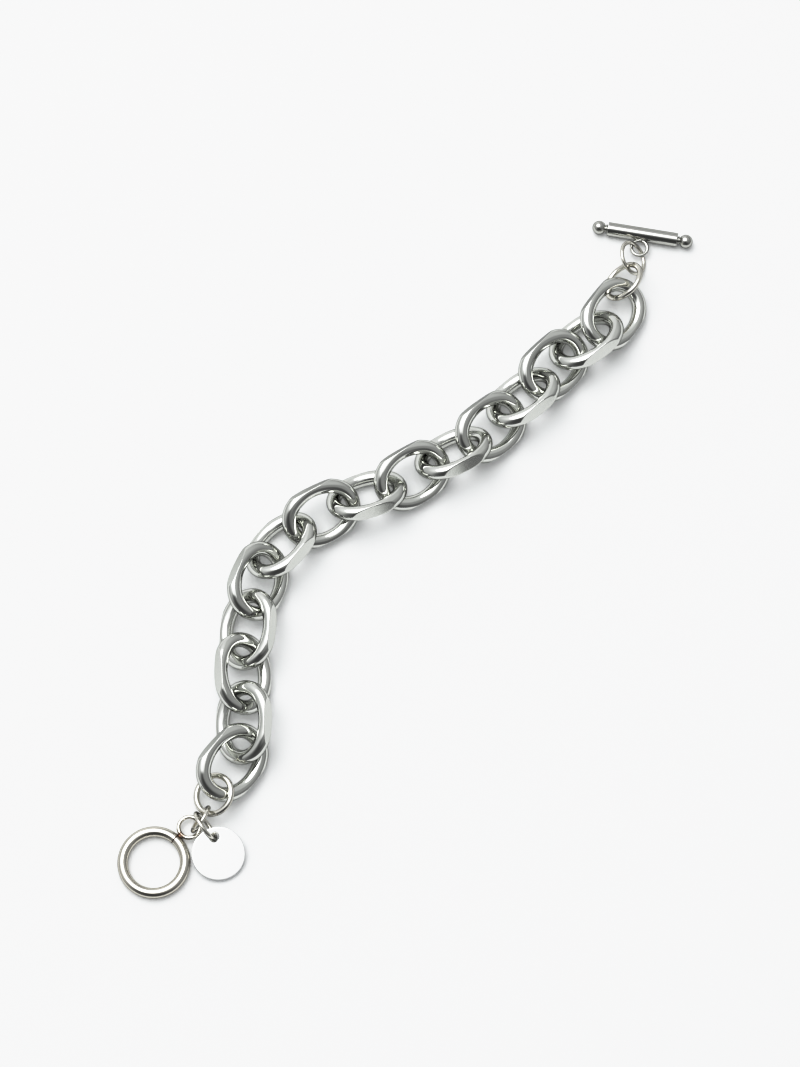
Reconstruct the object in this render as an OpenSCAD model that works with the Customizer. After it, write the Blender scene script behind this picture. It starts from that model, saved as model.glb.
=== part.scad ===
// Heavy oval-link bracelet lying open on a flat surface, with a T-bar and
// ring clasp and a round tag. Millimetres. The origin is on the surface, under
// the middle of the outline. X and Y lie in the surface and Z points up.

/* [Chain links] */
// Length of a link over its two ends
link_len = 18.8; // [18:0.1:19.4]
// Width of a link before its sides are ground flat
link_w = 15.2; // [15:0.1:15.8]
// Thickness of the round wire of the links
link_wire_d = 3.3; // [2.8:0.1:3.4]
// Centreline radius of the tight bend at each end
end_bend_r = 5.2; // [4.8:0.1:5.3]
// Depth of the flat ground on each long side
flat_depth = 1.1; // [0.4:0.1:1.3]

/* [T-bar] */
// Diameter of the rod
bar_d = 3.3; // [3:0.1:3.6]
// Length of the rod between its two flat ends
bar_len = 16.4; // [15:0.1:17]
// Diameter of the ball at each end
ball_d = 3.2; // [2.8:0.1:3.3]
// Distance between the centres of the two balls
ball_span = 20.5; // [19.9:0.1:21.4]
// Diameter of the neck that holds each ball
neck_d = 1.5; // [1.2:0.1:2]
// Centreline radius of the eye soldered to the rod
bar_eye_r = 1.87; // [1.8:0.01:1.95]

/* [Clasp ring] */
// Centreline radius of the clasp ring
clasp_r = 6.86; // [6.5:0.01:6.9]
// Thickness of its wire
clasp_wire_d = 2.32; // [2.1:0.02:2.4]
// Centreline radius of the eye soldered to the ring
clasp_eye_r = 2.35; // [2.3:0.01:2.4]

/* [Jump rings] */
// Thickness of the wire of the thin jump rings and of the clasp ring's eye
thin_wire_d = 0.9; // [0.7:0.05:0.95]
// Thickness of the wire of the two larger jump rings
thick_wire_d = 1.3; // [1:0.05:1.3]

/* [Tag] */
// Diameter of the round tag
tag_d = 11.7; // [11.3:0.1:11.8]
// Thickness of the tag
tag_t = 1.0; // [0.8:0.05:1.1]
// Diameter of the hole in the tag
tag_hole_d = 1.9; // [1.8:0.05:2.1]

/* [Hidden] */
$fn = 64;
STEEL = [0.78, 0.79, 0.80];

// How each link lies, in order from the T-bar: the heading of its length, its
// lean about its length, the lift of its front end, its shift to the left of the
// chain's line, and the play between it and the next link
HEADING = 0;
LEAN = 1;
LIFT = 2;
SHIFT = 3;
PLAY = 4;
LAY = [[236, -22, 7, -0.7, 2.5],
       [217, 31, -2, -0.7, 2.6],
       [226, -26, 3, -1.1, 1.4],
       [219, 33, -1, 0.0, 1.9],
       [221, -29, 8, 0.6, 1.6],
       [208, 37, 0, 1.1, 1.4],
       [213, -29, 2, 0.8, 0.9],
       [199, 34, 1, 0.7, 0.9],
       [209, -33, 1, 0.5, 0.1],
       [231, 30, 4, 0.4, 2.0],
       [250, -35, 8, 0.3, 0.7],
       [265, 30, -3, 0.6, 1.8],
       [272, -35, -1, -0.1, 1.0],
       [269, 32, -7, 0.2, 2.8],
       [232, -30, 7, 1.0, 0]];
CHAIN_START = [46.5, 55.8];

link_wire_r = link_wire_d / 2;
// Half the centreline's length and width
half_len = link_len / 2 - link_wire_r;
half_w = link_w / 2 - link_wire_r;
// Long gentle arc that joins the two end bends on each side
end_x = half_len - end_bend_r;
side_bend_r = (end_x * end_x + half_w * half_w - end_bend_r * end_bend_r)
            / (2 * (half_w - end_bend_r));
side_y = side_bend_r - half_w;
side_half_angle = atan2(end_x, side_y);
// The flat's distance from the wire's centre and from the link's middle
flat_inset = link_wire_r - flat_depth;
flat_y = half_w + flat_inset;
// From a link's centre to the middle of the next link's wire when pulled tight
link_pull = link_len / 2 - link_wire_d;

function along(angle) = [cos(angle), sin(angle)];
function step_after(i) = (link_pull - LAY[i][PLAY] / 2)
                       * (along(LAY[i][HEADING]) + along(LAY[i + 1][HEADING]));
function line_xy(i) = i == 0 ? CHAIN_START : line_xy(i - 1) + step_after(i - 1);
function link_xy(i) = line_xy(i) + LAY[i][SHIFT] * along(LAY[i][HEADING] + 90);

// How far below a link's centre a point lies: x along the link, y out towards
// its low side and z towards its underside
function depth(x, y, z, lean, lift) =
  cos(lift) * (y * sin(abs(lean)) + z * cos(lean)) - x * sin(lift);

// Depth of the lowest point of the wire at one angle along the low side, which
// is on the round of the wire or on the edge of the ground flat
function wire_depth(angle, lean, lift) =
  let (x = side_bend_r * sin(angle),
       y = side_bend_r * cos(angle) - side_y,
       outward = depth(sin(angle), cos(angle), 0, lean, lift),
       under = depth(0, 0, 1, lean, lift),
       pull = sqrt(outward * outward + under * under),
       to_flat = (flat_y - y) / cos(angle))
  link_wire_r * outward / pull <= to_flat
    ? depth(x, y, 0, lean, lift) + link_wire_r * pull
    : depth(x + to_flat * sin(angle), flat_y,
            sqrt(link_wire_r * link_wire_r - to_flat * to_flat), lean, lift);

// Height of a link's centre when its lowest point touches the surface
function rest_z(lean, lift) =
  max([for (part = [-20:20]) wire_depth(part / 20 * side_half_angle, lean, lift)]);

// Part of a wire ring, from one angle through another
module wire_arc(bend_r, wire_r, from, sweep)
  rotate([0, 0, from])
    rotate_extrude(angle = sweep)
      translate([bend_r, 0]) circle(r = wire_r);

module wire_ring(bend_r, wire_d)
  rotate_extrude() translate([bend_r, 0]) circle(d = wire_d);

// Puts a piece made flat about its centre where it lies, leaning about its
// length and with its front end lifted
module lay(at, heading, lift, lean)
  translate(at) rotate([0, 0, heading]) rotate([0, -lift, 0]) rotate([lean, 0, 0])
    children();

// Closed oval of round wire with its two long sides ground flat. The end bends
// are a hair thinner and run a little way into the side arcs, so all is one solid
module oval_link() {
  end_wire_r = link_wire_r - 0.02;
  run_in = 2;
  end_half_angle = 90 - side_half_angle + run_in;
  difference() {
    union() {
      for (side = [-1, 1]) {
        translate([0, -side * side_y])
          wire_arc(side_bend_r, link_wire_r, side * 90 - side_half_angle, 2 * side_half_angle);
        translate([side * end_x, 0])
          wire_arc(end_bend_r, end_wire_r, 90 - side * 90 - end_half_angle, 2 * end_half_angle);
      }
    }
    for (side = [-1, 1])
      translate([0, side * (flat_y + link_wire_r)])
        cube([link_len, link_wire_d, 2 * link_wire_d], center = true);
  }
}

module chain_link(i) {
  way = LAY[i];
  lay([link_xy(i).x, link_xy(i).y, rest_z(way[LEAN], way[LIFT])], way[HEADING], way[LIFT], way[LEAN])
    oval_link();
}

module link_01() color(STEEL) chain_link(0);
module link_02() color(STEEL) chain_link(1);
module link_03() color(STEEL) chain_link(2);
module link_04() color(STEEL) chain_link(3);
module link_05() color(STEEL) chain_link(4);
module link_06() color(STEEL) chain_link(5);
module link_07() color(STEEL) chain_link(6);
module link_08() color(STEEL) chain_link(7);
module link_09() color(STEEL) chain_link(8);
module link_10() color(STEEL) chain_link(9);
module link_11() color(STEEL) chain_link(10);
module link_12() color(STEEL) chain_link(11);
module link_13() color(STEEL) chain_link(12);
module link_14() color(STEEL) chain_link(13);
module link_15() color(STEEL) chain_link(14);

// Turned T-bar with a ball on a collared neck at each end, and its soldered eye
module t_bar() {
  bar_at = [53.4, 77.2, bar_d / 2];
  bar_heading = -10;
  eye_at = [52.6, 73.75, bar_d / 2];
  eye_wire_d = 0.76;
  collar_d = 2.1;
  collar_t = 0.3;
  collar_x = (bar_len + ball_span - ball_d) / 4 + 0.1;
  color(STEEL) {
    lay(bar_at, bar_heading, 0, 0) {
      rotate([0, 90, 0]) cylinder(d = bar_d, h = bar_len, center = true);
      rotate([0, 90, 0]) cylinder(d = neck_d, h = ball_span, center = true);
      for (side = [-1, 1]) {
        translate([side * ball_span / 2, 0, 0]) sphere(d = ball_d);
        translate([side * collar_x, 0, 0])
          rotate([0, 90, 0]) cylinder(d = collar_d, h = collar_t, center = true);
      }
    }
    translate(eye_at) wire_ring(bar_eye_r, eye_wire_d);
  }
}

module bar_ring() color(STEEL)
  lay([50.9, 70.6, 3.1], 269, 3, -44) wire_ring(3.8, thin_wire_d);

module bar_end_ring() color(STEEL)
  lay([48.4, 64.1, 4.6], 239, -4, 44) wire_ring(4.7, thick_wire_d);

module clasp_end_ring() color(STEEL)
  lay([-44.3, -57.5, 4.0], 270, 1, 24) wire_ring(4.3, thick_wire_d);

module connector_ring() color(STEEL)
  lay([-47.1, -62.9, 3.42], 239, 0, 73) wire_ring(3.1, thin_wire_d);

module tag_ring() color(STEEL)
  lay([-46.0, -64.6, 4.0], 305, 0, 105) wire_ring(3.5, thin_wire_d);

// Clasp ring lying flat, with a thin wire eye and the bead of solder that holds it
module toggle_ring() {
  ring_at = [-57.3, -72.02];
  eye_at = [-49.7, -64.3, 1.5];
  solder_d = 1.3;
  reach = [eye_at.x, eye_at.y] - ring_at;
  outward = reach / norm(reach);
  solder_at = ring_at + outward * (clasp_r + clasp_wire_d / 2);
  color(STEEL) {
    translate([ring_at.x, ring_at.y, clasp_wire_d / 2]) wire_ring(clasp_r, clasp_wire_d);
    translate(eye_at) wire_ring(clasp_eye_r, thin_wire_d);
    translate([solder_at.x, solder_at.y, eye_at.z - 0.1]) sphere(d = solder_d);
  }
}

// Flat round tag, its hole end lifted a little by the ring it hangs on
module tag() {
  hole_x = 3.75;
  lift = 10;
  tag_z = tag_t / 2 * cos(lift) + tag_d / 2 * sin(lift);
  color(STEEL)
    lay([-43.2, -70.2, tag_z], 102, lift, 0)
      difference() {
        cylinder(d = tag_d, h = tag_t, center = true);
        translate([hole_x, 0, 0]) cylinder(d = tag_hole_d, h = 2 * tag_t, center = true);
      }
}

t_bar();
bar_ring();
bar_end_ring();
link_01();
link_02();
link_03();
link_04();
link_05();
link_06();
link_07();
link_08();
link_09();
link_10();
link_11();
link_12();
link_13();
link_14();
link_15();
clasp_end_ring();
connector_ring();
tag_ring();
toggle_ring();
tag();
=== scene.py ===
import math
import bmesh
import bpy
from mathutils import Matrix, Vector


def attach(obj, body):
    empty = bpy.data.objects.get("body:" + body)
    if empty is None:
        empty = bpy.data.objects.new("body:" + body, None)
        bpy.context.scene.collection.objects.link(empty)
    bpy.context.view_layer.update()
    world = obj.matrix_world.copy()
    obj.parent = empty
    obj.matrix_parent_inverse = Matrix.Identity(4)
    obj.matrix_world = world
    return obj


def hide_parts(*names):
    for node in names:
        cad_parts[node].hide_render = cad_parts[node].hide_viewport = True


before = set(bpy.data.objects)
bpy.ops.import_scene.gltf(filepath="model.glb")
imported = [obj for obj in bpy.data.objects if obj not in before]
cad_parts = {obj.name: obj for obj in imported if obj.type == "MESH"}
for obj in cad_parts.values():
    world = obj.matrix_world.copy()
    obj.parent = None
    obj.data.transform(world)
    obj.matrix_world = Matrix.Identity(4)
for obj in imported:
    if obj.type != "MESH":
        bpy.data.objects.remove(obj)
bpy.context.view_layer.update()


# Chain links: fifteen heavy closed ovals of round stainless steel wire, ground flat
# on both long sides, then tumble polished until no joint shows. They hang in each
# other and lean to alternate sides.

MM = 0.001
LINK_LENGTH = 18.8 * MM
LINK_WIDTH = 15.2 * MM
LINK_WIRE_R = 1.65 * MM
LINK_END_BEND_R = 5.2 * MM
LINK_FLAT_DEPTH = 1.1 * MM
CHAIN_START = (46.5 * MM, 55.8 * MM)

# heading, lean about its length and lift of its front end, in degrees, then
# shift to the left of the chain's line and play before the next link, in mm
LINK_LAY = (
    (236, -22, 7, -0.7, 2.5),
    (217, 31, -2, -0.7, 2.6),
    (226, -26, 3, -1.1, 1.4),
    (219, 33, -1, 0.0, 1.9),
    (221, -29, 8, 0.6, 1.6),
    (208, 37, 0, 1.1, 1.4),
    (213, -29, 2, 0.8, 0.9),
    (199, 34, 1, 0.7, 0.9),
    (209, -33, 1, 0.5, 0.1),
    (231, 30, 4, 0.4, 2.0),
    (250, -35, 8, 0.3, 0.7),
    (265, 30, -3, 0.6, 1.8),
    (272, -35, -1, -0.1, 1.0),
    (269, 32, -7, 0.2, 2.8),
    (232, -30, 7, 1.0, 0.0),
)


def resting(centre, heading, lift, lean):
    """Puts a piece made flat about its middle where it lies; angles in degrees."""
    turn = Matrix.Rotation(math.radians(heading), 4, "Z")
    turn @= Matrix.Rotation(-math.radians(lift), 4, "Y")
    turn @= Matrix.Rotation(math.radians(lean), 4, "X")
    return Matrix.Translation(centre) @ turn


def tube(bm, stations, section, place):
    """A closed wire. Each station is (point, outward normal) in the flat; section
    gives the (outward, up) points of the wire there."""
    rows = []
    for index, (point, outward) in enumerate(stations):
        row = []
        for out, up in section(index, point, outward):
            at = Vector((point.x + out * outward.x, point.y + out * outward.y, up))
            row.append(bm.verts.new(place @ at))
        rows.append(row)
    count = len(rows[0])
    for a, b in zip(rows, rows[1:] + rows[:1]):
        for i in range(count):
            j = (i + 1) % count
            bm.faces.new((a[i], a[j], b[j], b[i]))


def piece_from(bm, name, node, material):
    """Ends a piece: smooth faces, its material, and the CAD node it stands for."""
    bmesh.ops.recalc_face_normals(bm, faces=bm.faces)
    for face in bm.faces:
        face.smooth = True
    mesh = bpy.data.meshes.new(name)
    bm.to_mesh(mesh)
    bm.free()
    mesh.materials.append(material)
    piece = bpy.data.objects.new(name, mesh)
    bpy.context.scene.collection.objects.link(piece)
    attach(piece, "root")
    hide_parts(node)
    return piece


def linear(hex_colour):
    """An sRGB hex colour as the linear RGBA that shaders use."""
    parts = [int(hex_colour[i:i + 2], 16) / 255 for i in (1, 3, 5)]
    return [c / 12.92 if c <= 0.04045 else ((c + 0.055) / 1.055) ** 2.4 for c in parts] + [1.0]


def add_node(tree, kind, settings=(), links=()):
    """Adds a shader node. Settings name its properties or its sockets, and links
    pair a socket of this node with an output of another."""
    node = tree.nodes.new(kind)
    for key, value in dict(settings).items():
        if isinstance(key, int) or key in node.inputs:
            node.inputs[key].default_value = value
        else:
            setattr(node, key, value)
    for key, output in dict(links).items():
        tree.links.new(node.inputs[key], output)
    return node


def bare_material(name, edge_tone):
    """An empty metal. edge_tone is how much of the light a grazing view keeps, which
    gives the limbs of round wire their dark outline."""
    material = bpy.data.materials.new(name)
    material.use_nodes = True
    tree = material.node_tree
    tree.nodes.clear()
    shader = add_node(tree, "ShaderNodeBsdfPrincipled",
                      {"Metallic": 1.0, "Specular Tint": [edge_tone] * 3 + [1.0]})
    add_node(tree, "ShaderNodeOutputMaterial", links={"Surface": shader.outputs["BSDF"]})
    return material, tree, shader


# Tumble-polished 304 stainless steel: a near mirror with a faint orange-peel
# waviness a few mm across, and hairline scratches that dull it in patches. Real
# hairlines are about 0.02 mm wide and are drawn 0.25 mm wide.
tumbled_steel, tree, shader = bare_material("tumble_polished_304_steel", 0.25)
object_space = add_node(tree, "ShaderNodeTexCoord").outputs["Object"]
WAVINESS_MM = 2.5
HAIRLINE_MM = 0.25
waviness = add_node(tree, "ShaderNodeTexNoise", {"Scale": 1 / (WAVINESS_MM * MM), "Detail": 1.0},
                    {"Vector": object_space})
hairlines = add_node(tree, "ShaderNodeTexNoise",
                     {"Scale": 1 / (HAIRLINE_MM * MM), "Detail": 4.0, "Distortion": 1.5},
                     {"Vector": object_space})
dulling = add_node(tree, "ShaderNodeMapRange",
                   {"From Min": 0.35, "From Max": 0.75, "To Min": 0.02, "To Max": 0.07},
                   {"Value": hairlines.outputs["Fac"]})
tree.links.new(shader.inputs["Roughness"], dulling.outputs["Result"])
steel_tone = add_node(tree, "ShaderNodeMix",
                      {"data_type": "RGBA", 6: linear("#DDDEDA"), 7: linear("#D7D8D4")},
                      {0: waviness.outputs["Fac"]})
tree.links.new(shader.inputs["Base Color"], steel_tone.outputs[2])
peel = add_node(tree, "ShaderNodeBump", {"Strength": 0.5, "Distance": 0.02 * MM},
                {"Height": waviness.outputs["Fac"]})
tree.links.new(shader.inputs["Normal"], peel.outputs["Normal"])

# The flats of the same steel, belt ground before the tumbling: satin, with the
# fine cross grain of the belt. Real grain is about 0.05 mm and is drawn 0.3 mm.
ground_flat, tree, shader = bare_material("belt_ground_304_steel", 0.4)
object_space = add_node(tree, "ShaderNodeTexCoord").outputs["Object"]
BELT_GRAIN_MM = 0.3
grain = add_node(tree, "ShaderNodeTexNoise", {"Scale": 1 / (BELT_GRAIN_MM * MM), "Detail": 3.0},
                 {"Vector": object_space})
satin = add_node(tree, "ShaderNodeMapRange",
                 {"From Min": 0.3, "From Max": 0.7, "To Min": 0.11, "To Max": 0.19},
                 {"Value": grain.outputs["Fac"]})
tree.links.new(shader.inputs["Roughness"], satin.outputs["Result"])
flat_tone = add_node(tree, "ShaderNodeMix",
                     {"data_type": "RGBA", 6: linear("#D9DAD6"), 7: linear("#CFD0CC")},
                     {0: grain.outputs["Fac"]})
tree.links.new(shader.inputs["Base Color"], flat_tone.outputs[2])
belt_marks = add_node(tree, "ShaderNodeBump", {"Strength": 0.1, "Distance": 0.01 * MM},
                      {"Height": grain.outputs["Fac"]})
tree.links.new(shader.inputs["Normal"], belt_marks.outputs["Normal"])

half_length = LINK_LENGTH / 2 - LINK_WIRE_R
half_width = LINK_WIDTH / 2 - LINK_WIRE_R
end_x = half_length - LINK_END_BEND_R
side_bend_r = (end_x ** 2 + half_width ** 2 - LINK_END_BEND_R ** 2) / (2 * (half_width - LINK_END_BEND_R))
side_y = side_bend_r - half_width
side_half_angle = math.atan2(end_x, side_y)
flat_y = half_width + LINK_WIRE_R - LINK_FLAT_DEPTH
link_pull = LINK_LENGTH / 2 - 2 * LINK_WIRE_R


def link_centreline(per_side=90, per_end=50):
    """Stations round the oval: a long gentle arc on each side, a tight one at each end."""
    stations = []
    end_half_angle = math.pi / 2 - side_half_angle
    for turn in (0, math.pi):
        for i in range(per_end):
            angle = turn + end_half_angle * (2 * i / per_end - 1)
            normal = Vector((math.cos(angle), math.sin(angle), 0))
            middle = Vector((end_x * math.cos(turn), 0, 0))
            stations.append((middle + LINK_END_BEND_R * normal, normal))
        for i in range(per_side):
            angle = turn + math.pi / 2 + side_half_angle * (2 * i / per_side - 1)
            normal = Vector((math.cos(angle), math.sin(angle), 0))
            middle = Vector((0, -side_y * math.cos(turn), 0))
            stations.append((middle + side_bend_r * normal, normal))
    return stations


FLAT_EDGE_ROUNDING = 0.18 * MM
FLAT_DOME_R = 100 * MM
FLAT_TWIST = math.radians(0.9) / MM

# Points round the wire's section: shares of the flat's half angle, then radians past
# its edge, both closest together at the edge, then even steps round the rest.
SHARES_OF_FLAT = (0, 0.3, 0.6, 0.8, 0.9, 0.95, 0.97, 0.985, 1.0)
PAST_FLAT = (0.012, 0.025, 0.05, 0.1, 0.18)
STEPS_ROUND_REST = 16

# Least values that keep the section whole where the wire has no flat. A cut far
# outside the wire leaves it round.
LEAST_FLAT_ANGLE = 0.06
LEAST_SIDE_LEAN = 0.05
LEAST_CUT_COSINE = 0.2
FAR_CUT = 10 * LINK_WIRE_R


def link_section(index, point, outward):
    """Round wire, with its outside cut by the ground flat. Grinding by hand left the
    flat very slightly domed and twisted along its length, and tumbling eased its edges."""
    domed_y = flat_y - point.x ** 2 / (2 * FLAT_DOME_R)
    to_flat = (domed_y - abs(point.y)) / max(abs(outward.y), LEAST_SIDE_LEAN)
    twist = -FLAT_TWIST * point.x * outward.y
    edge = math.acos(min(1, to_flat / LINK_WIRE_R)) if to_flat < LINK_WIRE_R else 0.0
    edge = max(edge, LEAST_FLAT_ANGLE)
    half = [edge * share for share in SHARES_OF_FLAT] + [edge + step for step in PAST_FLAT]
    past = half[-1]
    half += [past + (math.pi - past) * t / STEPS_ROUND_REST for t in range(1, STEPS_ROUND_REST + 1)]
    points = []
    for angle in [-a for a in reversed(half[1:-1])] + half:
        cut = to_flat / math.cos(angle) if math.cos(angle) > LEAST_CUT_COSINE else FAR_CUT
        gap = max(FLAT_EDGE_ROUNDING - abs(LINK_WIRE_R - cut), 0)
        r = min(LINK_WIRE_R, cut) - gap * gap / (4 * FLAT_EDGE_ROUNDING)
        points.append((r * math.cos(angle + twist), r * math.sin(angle + twist)))
    return points


def rest_height(lean, lift, half_steps=20):
    """Height of a link's middle when its lowest point touches the table."""
    lean, lift = abs(math.radians(lean)), math.radians(lift)

    def depth(x, y, z):
        return math.cos(lift) * (y * math.sin(lean) + z * math.cos(lean)) - x * math.sin(lift)

    deepest = 0
    for part in range(-half_steps, half_steps + 1):
        angle = part / half_steps * side_half_angle
        x, y = side_bend_r * math.sin(angle), side_bend_r * math.cos(angle) - side_y
        outward, under = depth(math.sin(angle), math.cos(angle), 0), depth(0, 0, 1)
        pull = math.hypot(outward, under)
        to_flat = (flat_y - y) / math.cos(angle)
        if LINK_WIRE_R * outward / pull <= to_flat:
            low = depth(x, y, 0) + LINK_WIRE_R * pull
        else:
            low = depth(x + to_flat * math.sin(angle), flat_y, math.sqrt(LINK_WIRE_R ** 2 - to_flat ** 2))
        deepest = max(deepest, low)
    return deepest


# Faces that look within 7 degrees of straight out to a link's side are its flats.
FLAT_FACE_DOT = math.cos(math.radians(7))

line = Vector(CHAIN_START)
previous = None
for number, (heading, lean, lift, shift, play) in enumerate(LINK_LAY, start=1):
    along = Vector((math.cos(math.radians(heading)), math.sin(math.radians(heading))))
    if previous:
        line = line + (link_pull - previous[1] / 2) * (previous[0] + along)
    previous = (along, play * MM)
    middle = line + shift * MM * Vector((-along.y, along.x))
    place = resting(Vector((middle.x, middle.y, rest_height(lean, lift))), heading, lift, lean)
    bm = bmesh.new()
    tube(bm, link_centreline(), link_section, place)
    piece = piece_from(bm, f"oval_link_{number:02d}", f"link_{number:02d}", tumbled_steel)
    piece.data.materials.append(ground_flat)
    to_the_side = place.to_3x3() @ Vector((0, 1, 0))
    for face in piece.data.polygons:
        if abs(face.normal.dot(to_the_side)) > FLAT_FACE_DOT:
            face.material_index = 1


# T-bar: a turned stainless steel rod with a ball on a short collared neck at each
# end. A small wire eye is soldered to the middle of its side and carries the chain.

BAR_CENTRE = Vector((53.4, 77.2, 1.65)) * MM
BAR_HEADING = -10
BAR_R = 1.65 * MM
BAR_LENGTH = 16.4 * MM
BALL_R = 1.6 * MM
BALL_SPAN = 20.5 * MM
NECK_R = 0.75 * MM
COLLAR_R = 1.05 * MM
COLLAR_THICKNESS = 0.3 * MM
COLLAR_SHIFT = 0.1 * MM
COLLAR_FULLNESS = 0.6
NECK_FILLET_LENGTH = 0.04 * MM
NECK_FILLET_RISE = 0.03 * MM
BALL_FILLET_LENGTH = 0.02 * MM
EYE_CENTRE = Vector((52.6, 73.75, 1.65)) * MM
EYE_BEND_R = 1.87 * MM
EYE_WIRE_R = 0.38 * MM
EYE_SINK = 0.05 * MM
BAR_BEAD = (0.85 * MM, 0.35 * MM, 0.5 * MM)
BAR_EDGE = 0.08 * MM
EDGE_STEPS = 4
COLLAR_STEPS = 8
BALL_STEPS = 31


def lathe(bm, profile, place, around=72):
    """A turned part: the profile is (along, radius) points and its two ends lie on the axis."""
    rows = []
    for x, r in profile[1:-1]:
        row = []
        for i in range(around):
            angle = 2 * math.pi * i / around
            row.append(bm.verts.new(place @ Vector((x, r * math.cos(angle), r * math.sin(angle)))))
        rows.append(row)
    for a, b in zip(rows, rows[1:]):
        for i in range(around):
            j = (i + 1) % around
            bm.faces.new((a[i], a[j], b[j], b[i]))
    for row, (x, _) in ((rows[0], profile[0]), (rows[-1], profile[-1])):
        tip = bm.verts.new(place @ Vector((x, 0, 0)))
        for i in range(around):
            bm.faces.new((row[i], row[(i + 1) % around], tip))


def ring_stations(bend_r, count=160):
    """Stations round a wire ring."""
    stations = []
    for i in range(count):
        angle = 2 * math.pi * i / count
        normal = Vector((math.cos(angle), math.sin(angle), 0))
        stations.append((bend_r * normal, normal))
    return stations


def round_wire(wire_r, around=28):
    """The section of plain round wire."""
    angles = [2 * math.pi * i / around for i in range(around)]
    return lambda index, point, outward: [(wire_r * math.cos(a), wire_r * math.sin(a)) for a in angles]


def solder_bead(bm, centre, size, turn):
    """A smooth bead of solder, as an egg of three half sizes."""
    place = Matrix.Translation(centre) @ Matrix.Rotation(math.radians(turn), 4, "Z")
    place @= Matrix.Diagonal((*size, 1))
    bmesh.ops.create_uvsphere(bm, u_segments=36, v_segments=20, radius=1, matrix=place)


# Lathe-turned and buffed 303 stainless steel: a little darker than the links, with
# faint turning rings and dull patches from handling about a mm across. The real
# rings are 0.03 mm apart, too fine to show, so they are drawn 0.15 mm apart.
turned_steel, tree, shader = bare_material("turned_and_buffed_303_steel", 0.15)
object_space = add_node(tree, "ShaderNodeTexCoord").outputs["Object"]
TURNING_MM = 0.15
HANDLING_MM = 1.2
along_bar = add_node(tree, "ShaderNodeMapping", {"Rotation": (0, 0, -math.radians(BAR_HEADING))},
                     {"Vector": object_space})
turning = add_node(tree, "ShaderNodeTexWave",
                   {"bands_direction": "X", "Scale": math.pi / (10 * TURNING_MM * MM),
                    "Distortion": 0.6, "Detail": 2.0, "Detail Scale": 3.0},
                   {"Vector": along_bar.outputs["Vector"]})
handling = add_node(tree, "ShaderNodeTexNoise", {"Scale": 1 / (HANDLING_MM * MM), "Detail": 5.0},
                    {"Vector": object_space})
dulling = add_node(tree, "ShaderNodeMapRange",
                   {"From Min": 0.35, "From Max": 0.7, "To Min": 0.06, "To Max": 0.12},
                   {"Value": handling.outputs["Fac"]})
tree.links.new(shader.inputs["Roughness"], dulling.outputs["Result"])
buffed_tone = add_node(tree, "ShaderNodeMix",
                       {"data_type": "RGBA", 6: linear("#CBCBC7"), 7: linear("#C2C2BE")},
                       {0: handling.outputs["Fac"]})
tree.links.new(shader.inputs["Base Color"], buffed_tone.outputs[2])
rings = add_node(tree, "ShaderNodeBump", {"Strength": 0.05, "Distance": 0.01 * MM},
                 {"Height": turning.outputs["Fac"]})
tree.links.new(shader.inputs["Normal"], rings.outputs["Normal"])

half_bar = BAR_LENGTH / 2
collar_x = (BAR_LENGTH + BALL_SPAN - 2 * BALL_R) / 4 + COLLAR_SHIFT
ball_x = BALL_SPAN / 2
neck_meets_ball = ball_x - math.sqrt(BALL_R ** 2 - NECK_R ** 2)

# Half of the turned profile, from the middle outwards: the rod, its eased edge and
# end face, the neck with its collar, and the ball.
half_profile = [(x, BAR_R) for x in (0, half_bar / 2, half_bar - 3 * BAR_EDGE, half_bar - BAR_EDGE)]
for i in range(1, EDGE_STEPS + 1):
    angle = math.pi / 2 * i / EDGE_STEPS
    half_profile.append((half_bar - BAR_EDGE + BAR_EDGE * math.sin(angle),
                         BAR_R - BAR_EDGE + BAR_EDGE * math.cos(angle)))
half_profile += [(half_bar, BAR_R - 2.5 * BAR_EDGE), (half_bar, NECK_R + NECK_FILLET_RISE),
                 (half_bar + NECK_FILLET_LENGTH, NECK_R)]
for i in range(COLLAR_STEPS + 1):
    angle = math.pi * i / COLLAR_STEPS
    half_profile.append((collar_x - COLLAR_THICKNESS / 2 * math.cos(angle),
                         NECK_R + (COLLAR_R - NECK_R) * math.sin(angle) ** COLLAR_FULLNESS))
half_profile.append((neck_meets_ball - BALL_FILLET_LENGTH, NECK_R))
start_angle = math.asin(NECK_R / BALL_R)
for i in range(1, BALL_STEPS):
    angle = start_angle + (math.pi - start_angle) * i / BALL_STEPS
    half_profile.append((ball_x - BALL_R * math.cos(angle), BALL_R * math.sin(angle)))
half_profile.append((ball_x + BALL_R, 0))
profile = [(-x, r) for x, r in reversed(half_profile[1:])] + half_profile

bm = bmesh.new()
lathe(bm, profile, resting(BAR_CENTRE, BAR_HEADING, 0, 0))
tube(bm, ring_stations(EYE_BEND_R), round_wire(EYE_WIRE_R), Matrix.Translation(EYE_CENTRE))
eye_to_bar = math.radians(BAR_HEADING + 90)
eye_top = EYE_CENTRE + Vector((math.cos(eye_to_bar), math.sin(eye_to_bar), 0)) * (EYE_BEND_R + EYE_SINK)
solder_bead(bm, eye_top, BAR_BEAD, BAR_HEADING)
piece_from(bm, "turned_t_bar", "t_bar", turned_steel)


# Jump rings: open rings of drawn stainless steel wire, closed with pliers, so that
# each keeps a fine butt joint. A thin one hangs in each half of the clasp, a thicker
# one in each end of the chain, and a third thin one carries the tag.

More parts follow.
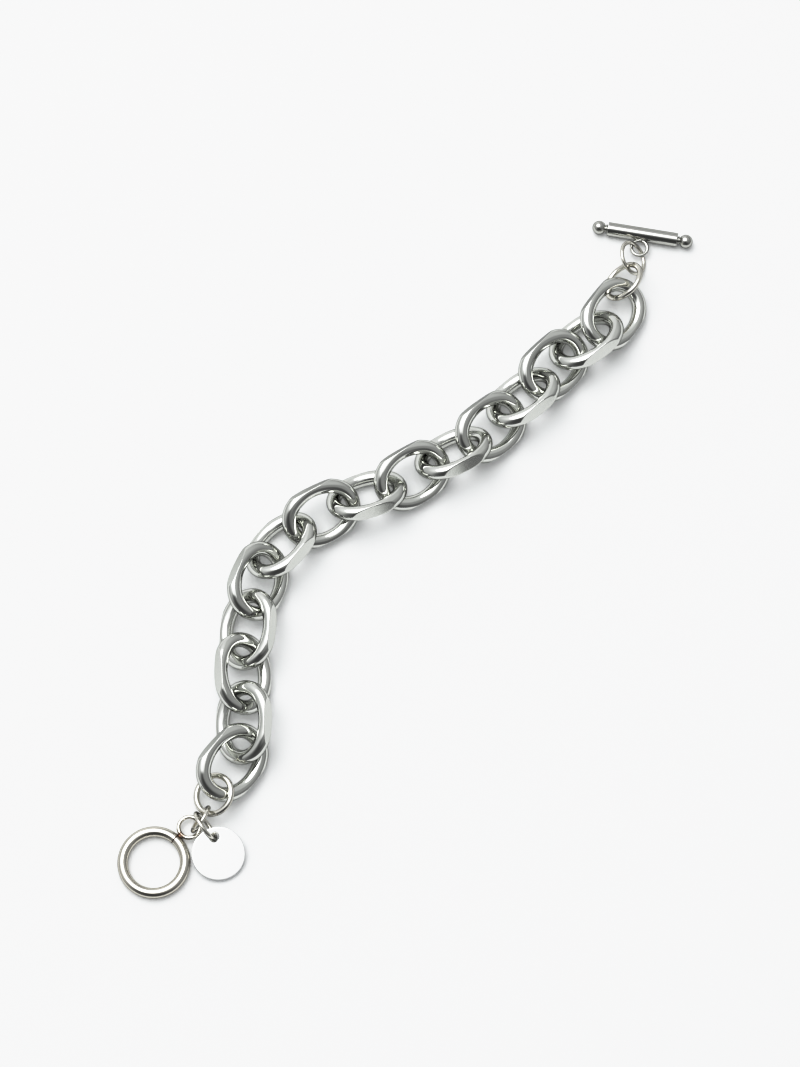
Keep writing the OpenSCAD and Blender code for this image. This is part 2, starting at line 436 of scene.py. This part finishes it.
# Drawn 304 wire, barrel polished: bright, with faint drawing lines that dull it.
# Real drawing lines are about 0.02 mm wide and are drawn 0.4 mm wide.
drawn_wire, tree, shader = bare_material("barrel_polished_drawn_304_wire", 0.12)
object_space = add_node(tree, "ShaderNodeTexCoord").outputs["Object"]
DRAWING_MM = 0.4
drawing = add_node(tree, "ShaderNodeTexNoise", {"Scale": 1 / (DRAWING_MM * MM), "Detail": 4.0},
                   {"Vector": object_space})
dulling = add_node(tree, "ShaderNodeMapRange",
                   {"From Min": 0.35, "From Max": 0.7, "To Min": 0.07, "To Max": 0.15},
                   {"Value": drawing.outputs["Fac"]})
tree.links.new(shader.inputs["Roughness"], dulling.outputs["Result"])
wire_tone = add_node(tree, "ShaderNodeMix",
                     {"data_type": "RGBA", 6: linear("#E5E3DC"), 7: linear("#D6D4CD")},
                     {0: drawing.outputs["Fac"]})
tree.links.new(shader.inputs["Base Color"], wire_tone.outputs[2])
drawn_lines = add_node(tree, "ShaderNodeBump", {"Strength": 0.06, "Distance": 0.01 * MM},
                       {"Height": drawing.outputs["Fac"]})
tree.links.new(shader.inputs["Normal"], drawn_lines.outputs["Normal"])

THIN_WIRE_R = 0.45 * MM
THICK_WIRE_R = 0.65 * MM
BUTT_GROOVE = 0.06 * MM

# centre in mm, heading, lift and lean in degrees, bend radius in mm, wire
# radius, and the angle round the ring of its butt joint
JUMP_RINGS = {
    "bar_ring": ((50.9, 70.6, 3.1), 269, 3, -44, 3.8, THIN_WIRE_R, 200),
    "bar_end_ring": ((48.4, 64.1, 4.6), 239, -4, 44, 4.7, THICK_WIRE_R, 300),
    "clasp_end_ring": ((-44.3, -57.5, 4.0), 270, 1, 24, 4.3, THICK_WIRE_R, 120),
    "connector_ring": ((-47.1, -62.9, 3.42), 239, 0, 73, 3.1, THIN_WIRE_R, 90),
    "tag_ring": ((-46.0, -64.6, 4.0), 305, 0, 105, 3.5, THIN_WIRE_R, 270),
}


def butted_wire(wire_r, count, joint, depth=BUTT_GROOVE, reach=0, around=28):
    """Round wire with a fine groove where its two ends meet, at station joint and as
    many stations to each side of it as reach says."""
    def section(index, point, outward):
        away = min(abs(index - joint), count - abs(index - joint))
        r = wire_r - (depth if away <= reach else 0)
        angles = [2 * math.pi * i / around for i in range(around)]
        return [(r * math.cos(a), r * math.sin(a)) for a in angles]
    return section


def joint_stations(bend_r, joint_angle, count=160, crowding=1.5):
    """Stations round a ring, drawn together at its joint so that the groove is fine."""
    stations = []
    for i in range(count):
        near = (i - count // 2) / (count // 2)
        angle = math.radians(joint_angle) + math.pi * math.copysign(abs(near) ** crowding, near)
        normal = Vector((math.cos(angle), math.sin(angle), 0))
        stations.append((bend_r * normal, normal))
    return stations


for name, (centre, heading, lift, lean, bend_r, wire_r, joint_angle) in JUMP_RINGS.items():
    bm = bmesh.new()
    stations = joint_stations(bend_r * MM, joint_angle)
    place = resting(Vector(centre) * MM, heading, lift, lean)
    tube(bm, stations, butted_wire(wire_r, len(stations), len(stations) // 2), place)
    piece_from(bm, f"{name}_wire", name, drawn_wire)


# Clasp ring: heavy round stainless steel wire closed by a weld, lying flat, with a
# thin wire eye soldered to its outside, where the torch left a brown tint.

CLASP_CENTRE = Vector((-57.3, -72.02, 1.16)) * MM
CLASP_BEND_R = 6.86 * MM
CLASP_WIRE_R = 1.16 * MM
CLASP_EYE_CENTRE = Vector((-49.7, -64.3, 1.5)) * MM
CLASP_EYE_BEND_R = 2.35 * MM
CLASP_BEAD = (0.55 * MM, 0.8 * MM, 0.6 * MM)
BEAD_DROP = 0.1 * MM
to_eye = (CLASP_EYE_CENTRE - CLASP_CENTRE).xy.normalized()
eye_bearing = math.degrees(math.atan2(to_eye.y, to_eye.x))
joint_at = CLASP_CENTRE + (CLASP_BEND_R + CLASP_WIRE_R) * Vector((to_eye.x, to_eye.y, 0))
joint_at.z = CLASP_EYE_CENTRE.z - BEAD_DROP

# The weld line, which shows just past the eye as a fine dark groove.
WELD_GROOVE = 0.1 * MM
WELD_PAST_EYE_DEG = 3
SEAM_WIDTH = 0.16 * MM
seam_bearing = math.radians(eye_bearing + WELD_PAST_EYE_DEG)
seam_at = CLASP_CENTRE + CLASP_BEND_R * Vector((math.cos(seam_bearing), math.sin(seam_bearing), 0))
seam_tangent = (-math.sin(seam_bearing), math.cos(seam_bearing), 0)

# Buffed 304 wire with torch tint: mirror bright, turning straw and brown over the
# last 2 mm before the solder joint, in a ragged edge, where it is also duller.
tinted_steel, tree, shader = bare_material("buffed_304_wire_with_torch_tint", 0.15)
object_space = add_node(tree, "ShaderNodeTexCoord").outputs["Object"]
TINT_REACH_MM = 1.9
TINT_FULL_MM = 0.9
TINT_RAGGED_MM = 0.9
TINT_GRAIN_MM = 0.6
tint_distance = add_node(tree, "ShaderNodeVectorMath", {"operation": "DISTANCE", 1: joint_at},
                         {0: object_space})
tint_edge = add_node(tree, "ShaderNodeTexNoise", {"Scale": 1 / (TINT_GRAIN_MM * MM), "Detail": 3.0},
                     {"Vector": object_space})
ragged = add_node(tree, "ShaderNodeMath", {"operation": "MULTIPLY_ADD", 1: TINT_RAGGED_MM * MM},
                  {0: tint_edge.outputs["Fac"], 2: tint_distance.outputs["Value"]})
tint = add_node(tree, "ShaderNodeMapRange",
                {"interpolation_type": "SMOOTHSTEP", "From Min": TINT_FULL_MM * MM,
                 "From Max": TINT_REACH_MM * MM, "To Min": 1.0, "To Max": 0.0},
                {"Value": ragged.outputs["Value"]})
buffed = add_node(tree, "ShaderNodeMix", {"data_type": "RGBA", 6: linear("#DCD9D1"), 7: linear("#D0CDC5")},
                  {0: tint_edge.outputs["Fac"]})
tinted = add_node(tree, "ShaderNodeMix", {"data_type": "RGBA", 7: linear("#7A6250")},
                  {0: tint.outputs["Result"], 6: buffed.outputs[2]})

# Scale left in the weld line: a dark band across the ring's own wire.
from_seam = add_node(tree, "ShaderNodeVectorMath", {"operation": "SUBTRACT", 1: seam_at},
                     {0: object_space})
across_seam = add_node(tree, "ShaderNodeVectorMath", {"operation": "DOT_PRODUCT", 1: seam_tangent},
                       {0: from_seam.outputs["Vector"]})
seam_offset = add_node(tree, "ShaderNodeMath", {"operation": "ABSOLUTE"},
                       {0: across_seam.outputs["Value"]})
seam_distance = add_node(tree, "ShaderNodeVectorMath", {"operation": "LENGTH"},
                         {0: from_seam.outputs["Vector"]})
on_line = add_node(tree, "ShaderNodeMapRange",
                   {"From Min": 0.5 * SEAM_WIDTH, "From Max": SEAM_WIDTH, "To Min": 1.0, "To Max": 0.0},
                   {"Value": seam_offset.outputs["Value"]})
near_seam = add_node(tree, "ShaderNodeMath", {"operation": "LESS_THAN", 1: 2 * CLASP_WIRE_R},
                     {0: seam_distance.outputs["Value"]})
seam = add_node(tree, "ShaderNodeMath", {"operation": "MULTIPLY"},
                {0: on_line.outputs["Result"], 1: near_seam.outputs["Value"]})
scaled = add_node(tree, "ShaderNodeMix", {"data_type": "RGBA", 7: linear("#5A463A")},
                  {0: seam.outputs["Value"], 6: tinted.outputs[2]})
tree.links.new(shader.inputs["Base Color"], scaled.outputs[2])
dulling = add_node(tree, "ShaderNodeMapRange", {"To Min": 0.07, "To Max": 0.35},
                   {"Value": tint.outputs["Result"]})
tree.links.new(shader.inputs["Roughness"], dulling.outputs["Result"])
buffing = add_node(tree, "ShaderNodeBump", {"Strength": 0.05, "Distance": 0.01 * MM},
                   {"Height": tint_edge.outputs["Fac"]})
tree.links.new(shader.inputs["Normal"], buffing.outputs["Normal"])

bm = bmesh.new()
stations = joint_stations(CLASP_BEND_R, math.degrees(seam_bearing), count=220)
weld_line = butted_wire(CLASP_WIRE_R, len(stations), len(stations) // 2, WELD_GROOVE, reach=2, around=40)
tube(bm, stations, weld_line, Matrix.Translation(CLASP_CENTRE))
tube(bm, ring_stations(CLASP_EYE_BEND_R), round_wire(THIN_WIRE_R), Matrix.Translation(CLASP_EYE_CENTRE))
solder_bead(bm, joint_at, CLASP_BEAD, eye_bearing)
piece_from(bm, "clasp_ring_with_eye", "toggle_ring", tinted_steel)


# Tag: a disc stamped from 1 mm stainless steel sheet, polished on both faces and
# eased at its rim, with one drilled hole for its jump ring.

TAG_R = 5.85 * MM
TAG_THICKNESS = 1.0 * MM
TAG_HOLE_R = 0.95 * MM
TAG_HOLE_X = 3.75 * MM
TAG_LIFT = 10
TAG_HEADING = 102
TAG_EDGE = 0.12 * MM
TAG_MIDDLE = (-43.2 * MM, -70.2 * MM)
tag_z = TAG_THICKNESS / 2 * math.cos(math.radians(TAG_LIFT)) + TAG_R * math.sin(math.radians(TAG_LIFT))
tag_place = resting(Vector((*TAG_MIDDLE, tag_z)), TAG_HEADING, TAG_LIFT, 0)

# Mirror-polished 316 sheet: almost white under a white tent, with stray fine
# hairlines. Real hairlines are about 0.01 mm wide and are drawn 0.06 mm wide.
polished_sheet, tree, shader = bare_material("mirror_polished_316_sheet", 0.6)
object_space = add_node(tree, "ShaderNodeTexCoord").outputs["Object"]
HAIRLINE_PITCH_MM = 0.12
HAIRLINE_TURN = 0.6
HAIRLINE_STRETCH = 0.12
stretched = add_node(tree, "ShaderNodeMapping",
                     {"Rotation": (0, 0, HAIRLINE_TURN), "Scale": (HAIRLINE_STRETCH, 1.0, 1.0)},
                     {"Vector": object_space})
hairlines = add_node(tree, "ShaderNodeTexNoise", {"Scale": 1 / (HAIRLINE_PITCH_MM * MM), "Detail": 3.0},
                     {"Vector": stretched.outputs["Vector"]})
dulling = add_node(tree, "ShaderNodeMapRange",
                   {"From Min": 0.4, "From Max": 0.7, "To Min": 0.08, "To Max": 0.16},
                   {"Value": hairlines.outputs["Fac"]})
tree.links.new(shader.inputs["Roughness"], dulling.outputs["Result"])
sheet_tone = add_node(tree, "ShaderNodeMix",
                      {"data_type": "RGBA", 6: linear("#F6F7F6"), 7: linear("#EAEBEA")},
                      {0: hairlines.outputs["Fac"]})
tree.links.new(shader.inputs["Base Color"], sheet_tone.outputs[2])
scratches = add_node(tree, "ShaderNodeBump", {"Strength": 0.04, "Distance": 0.01 * MM},
                     {"Height": hairlines.outputs["Fac"]})
tree.links.new(shader.inputs["Normal"], scratches.outputs["Normal"])


def rim(bm, middle_x, radius, inward, count, place):
    """Rows of one edge of the tag, from its top face round its wall to its underside.
    inward is -1 at the outer rim and 1 round the hole."""
    half = TAG_THICKNESS / 2
    steps = [(-4 * TAG_EDGE, half)]
    for i in range(EDGE_STEPS + 1):
        angle = math.pi / 2 * i / EDGE_STEPS
        steps.append((TAG_EDGE * (math.sin(angle) - 1), half - TAG_EDGE * (1 - math.cos(angle))))
    steps += [(out, -up) for out, up in reversed(steps)]
    rows = []
    for out, up in steps:
        r = radius - inward * out
        row = []
        for i in range(count):
            angle = 2 * math.pi * i / count
            at = Vector((middle_x + r * math.cos(angle), r * math.sin(angle), up))
            row.append(bm.verts.new(place @ at))
        rows.append(row)
    for a, b in zip(rows, rows[1:]):
        for i in range(count):
            j = (i + 1) % count
            bm.faces.new((a[i], a[j], b[j], b[i]))
    return rows[0], rows[-1]


bm = bmesh.new()
outer = rim(bm, middle_x=0, radius=TAG_R, inward=-1, count=144, place=tag_place)
inner = rim(bm, middle_x=TAG_HOLE_X, radius=TAG_HOLE_R, inward=1, count=48, place=tag_place)
for outer_row, inner_row in zip(outer, inner):
    edges = []
    for row in (outer_row, inner_row):
        for i, vert in enumerate(row):
            edges.append(bm.edges.get((vert, row[(i + 1) % len(row)])))
    bmesh.ops.triangle_fill(bm, edges=edges, use_beauty=True)
piece_from(bm, "round_tag", "tag", polished_sheet)


# Table, light and camera: a sheet of matt white card that glows faintly, painted
# light that keeps its shadows light, under a white tent that is open towards the
# camera, with the main lamp at the upper left. They are not part of the bracelet.

CARD_HALF_WIDTH = 1.5
CARD_DROP = 0.02 * MM
CARD_FADES_FROM = 135 * MM
CARD_FADES_TO = 330 * MM

# Matt white card: chalky, with a fibre mottling 1.5 mm across that barely shows. Well
# away from the bracelet its colour is painted pale grey: painted shade for the light falling off.
matt_card = bpy.data.materials.new("matt_white_card")
matt_card.use_nodes = True
tree = matt_card.node_tree
tree.nodes.clear()
# The card's white emission is painted light: the card glows faintly, though it is no lamp, so that shadows
# on it stay light.
shader = add_node(tree, "ShaderNodeBsdfPrincipled",
                  {"Roughness": 0.9, "Specular IOR Level": 0.1,
                   "Emission Color": linear("#FFFFFF"), "Emission Strength": 0.12})
add_node(tree, "ShaderNodeOutputMaterial", links={"Surface": shader.outputs["BSDF"]})
card_space = add_node(tree, "ShaderNodeTexCoord").outputs["Object"]
FIBRE_MM = 1.5
fibre = add_node(tree, "ShaderNodeTexNoise", {"Scale": 1 / (FIBRE_MM * MM), "Detail": 3.0},
                 {"Vector": card_space})
card_tone = add_node(tree, "ShaderNodeMix",
                     {"data_type": "RGBA", 6: linear("#E4E5E5"), 7: linear("#E2E3E3")},
                     {0: fibre.outputs["Fac"]})
# Painted shade: the card's colour goes from white to pale grey between these distances from its middle.
from_middle = add_node(tree, "ShaderNodeVectorMath", {"operation": "LENGTH"}, {0: card_space})
far = add_node(tree, "ShaderNodeMapRange",
               {"interpolation_type": "SMOOTHSTEP", "From Min": CARD_FADES_FROM, "From Max": CARD_FADES_TO},
               {"Value": from_middle.outputs["Value"]})
painted_far_shade = add_node(tree, "ShaderNodeMix", {"data_type": "RGBA", 7: linear("#C0C1C0")},
                   {0: far.outputs["Result"], 6: card_tone.outputs[2]})
tree.links.new(shader.inputs["Base Color"], painted_far_shade.outputs[2])

bm = bmesh.new()
bmesh.ops.create_grid(bm, x_segments=1, y_segments=1, size=CARD_HALF_WIDTH)
mesh = bpy.data.meshes.new("table_card")
bm.to_mesh(mesh)
bm.free()
mesh.materials.append(matt_card)
table = bpy.data.objects.new("table_card", mesh)
table.location.z = -CARD_DROP
bpy.context.scene.collection.objects.link(table)

world = bpy.data.worlds.new("white_tent")
bpy.context.scene.world = world
world.use_nodes = True
tree = world.node_tree
tree.nodes.clear()
direction = add_node(tree, "ShaderNodeTexCoord").outputs["Generated"]


def towards(azimuth, elevation):
    """A unit vector; azimuth is turned from +X towards +Y."""
    a, e = math.radians(azimuth), math.radians(elevation)
    return (math.cos(e) * math.cos(a), math.cos(e) * math.sin(a), math.sin(e))


def light_patch(level, azimuth, elevation, radius, softness, to):
    """Brings the tent's light level to another inside a round patch with a soft edge."""
    facing = add_node(tree, "ShaderNodeVectorMath",
                      {"operation": "DOT_PRODUCT", 1: towards(azimuth, elevation)}, {0: direction})
    inside = add_node(tree, "ShaderNodeMapRange",
                      {"interpolation_type": "SMOOTHSTEP",
                       "From Min": math.cos(math.radians(radius + softness)),
                       "From Max": math.cos(math.radians(max(radius - softness, 0)))},
                      {"Value": facing.outputs["Value"]})
    return add_node(tree, "ShaderNodeMix", {"data_type": "FLOAT", 3: to},
                    {0: inside.outputs["Result"], 2: level}).outputs[0]


# The tent's light: a base level, and over it round patches that are dim at the
# camera's side, where it is open, and bright towards the lamp at its upper left.
TENT_LEVEL = 0.258

# azimuth, elevation, radius and softness in degrees, and the light level inside
TENT_PATCHES = (
    (130, 66, 59, 48, 0.63),
    (115, 32, 12, 12, 0.78),
    (105, 0, 20, 12, 0.78),
    (267, 41, 25, 34, 0.095),
    (353, 68, 31, 14, 0.37),
    (45, 60, 8, 24, 0.58),
    (138, 62, 20, 22, 1.0),
    (163, 77, 9, 18, 1.5),
    (318, 77, 7, 6, 0.98),
)
base = add_node(tree, "ShaderNodeValue")
base.outputs[0].default_value = TENT_LEVEL
level = base.outputs[0]
for azimuth, elevation, radius, softness, to in TENT_PATCHES:
    level = light_patch(level, azimuth, elevation, radius, softness, to)
background = add_node(tree, "ShaderNodeBackground", {"Color": linear("#FDFEFF")}, {"Strength": level})
add_node(tree, "ShaderNodeOutputWorld", links={"Surface": background.outputs["Background"]})

# The main lamp, a round softbox: its bearing in degrees, its distance and width in
# metres, and its power in watts.
SOFTBOX_AZIMUTH, SOFTBOX_ELEVATION, SOFTBOX_DISTANCE = 130, 66, 0.9
SOFTBOX_WIDTH = 0.8
SOFTBOX_POWER = 3.7
lamp = bpy.data.lights.new("main_softbox", "AREA")
lamp.shape = "DISK"
lamp.size = SOFTBOX_WIDTH
lamp.energy = SOFTBOX_POWER
lamp_object = bpy.data.objects.new("main_softbox", lamp)
lamp_object.location = Vector(towards(SOFTBOX_AZIMUTH, SOFTBOX_ELEVATION)) * SOFTBOX_DISTANCE
lamp_object.rotation_euler = lamp_object.location.to_track_quat("Z", "Y").to_euler()
bpy.context.scene.collection.objects.link(lamp_object)

# The camera: the photograph's height and its focal length in pixels, its scale at the
# point aimed at, and how far it is tilted from looking straight down.
PHOTO_HEIGHT = 1067
FOCAL_PIXELS = 3000
PIXELS_PER_MM = 4.4
CAMERA_TILT = math.radians(18)
AIM = Vector((-3.4, 4.1, 0)) * MM
camera = bpy.data.cameras.new("photo_camera")
camera.sensor_fit = "VERTICAL"
camera.sensor_height = 36.0
camera.lens = camera.sensor_height * FOCAL_PIXELS / PHOTO_HEIGHT
camera_object = bpy.data.objects.new("photo_camera", camera)
camera_distance = FOCAL_PIXELS / PIXELS_PER_MM * MM
camera_object.location = AIM + camera_distance * Vector((0, -math.sin(CAMERA_TILT), math.cos(CAMERA_TILT)))
camera_object.rotation_euler = (CAMERA_TILT, 0, 0)
camera.clip_start = 0.01
bpy.context.scene.collection.objects.link(camera_object)
bpy.context.scene.camera = camera_object

# Standard colours with the contrast of a photographic print: darks a little
# deeper, and a shoulder that holds the white card just short of clipping. The rows
# are a light level of the scene and the level shown for it.
PRINT_CURVE = (
    (0.1, 0.065),
    (0.2, 0.155),
    (0.35, 0.355),
    (0.55, 0.67),
    (0.75, 0.905),
    (0.92, 0.944),
    (1.3, 0.975),
)
PRINT_CURVE_END = (3.0, 1.0)
BRIGHTEST_LEVEL = 4.0
display = bpy.context.scene.view_settings
display.view_transform = "Standard"
display.use_curve_mapping = True
print_curve = display.curve_mapping
print_curve.clip_max_x = BRIGHTEST_LEVEL
tones = print_curve.curves[3]
tones.points[1].location = PRINT_CURVE_END
for light_level, shown in PRINT_CURVE:
    tones.points.new(light_level, shown)
print_curve.update()
